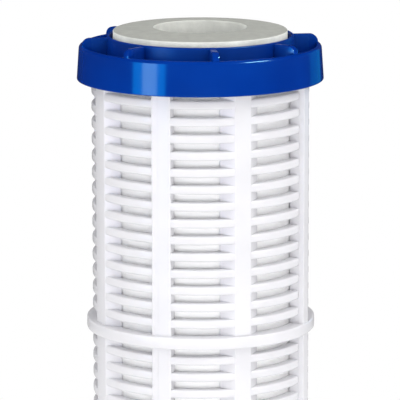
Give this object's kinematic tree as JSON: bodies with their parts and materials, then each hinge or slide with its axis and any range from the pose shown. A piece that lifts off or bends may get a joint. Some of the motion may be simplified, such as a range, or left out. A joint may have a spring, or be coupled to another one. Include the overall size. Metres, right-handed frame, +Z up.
{
  "type": "washable net filter cartridge",
  "caption": "Upright washable filter cartridge: slatted cage over a woven net sleeve, gusseted end caps with foam sealing gaskets, open bore from end to end.",
  "frame": {"origin": "centre of the lower gasket's sealing face, on which the cartridge stands", "axes": "+Z up along the bore axis; the camera side is -Y"},
  "size_m": [0.0736, 0.0736, 0.2492],
  "materials": {
    "cap_plastic": "glossy moulded blue polypropylene",
    "gasket_foam": "matt grey closed-cell foam",
    "seal_bead": "set hot-melt sealant",
    "cage_plastic": "glossy natural white polypropylene",
    "filter_net": "fine woven polyester mesh",
    "core_plastic": "moulded white polypropylene"
  },
  "bodies": {
    "cartridge": {"end_cap_top": "cap_plastic", "end_cap_bottom": "cap_plastic", "seal_bead_top": "seal_bead", "seal_bead_bottom": "seal_bead", "cage_half_right": "cage_plastic", "cage_half_left": "cage_plastic", "net_sleeve": "filter_net", "support_core": "core_plastic"},
    "upper_gasket": {"gasket_top": "gasket_foam"},
    "lower_gasket": {"gasket_bottom": "gasket_foam"}
  },
  "joints": [
    {"name": "upper_gasket_lift", "type": "slide", "parent": "cartridge", "child": "upper_gasket", "axis": [0, 0, 1], "range_m": [0, 0.012]},
    {"name": "lower_gasket_lift", "type": "slide", "parent": "cartridge", "child": "lower_gasket", "axis": [0, 0, -1], "range_m": [0, 0.012]}
  ]
}
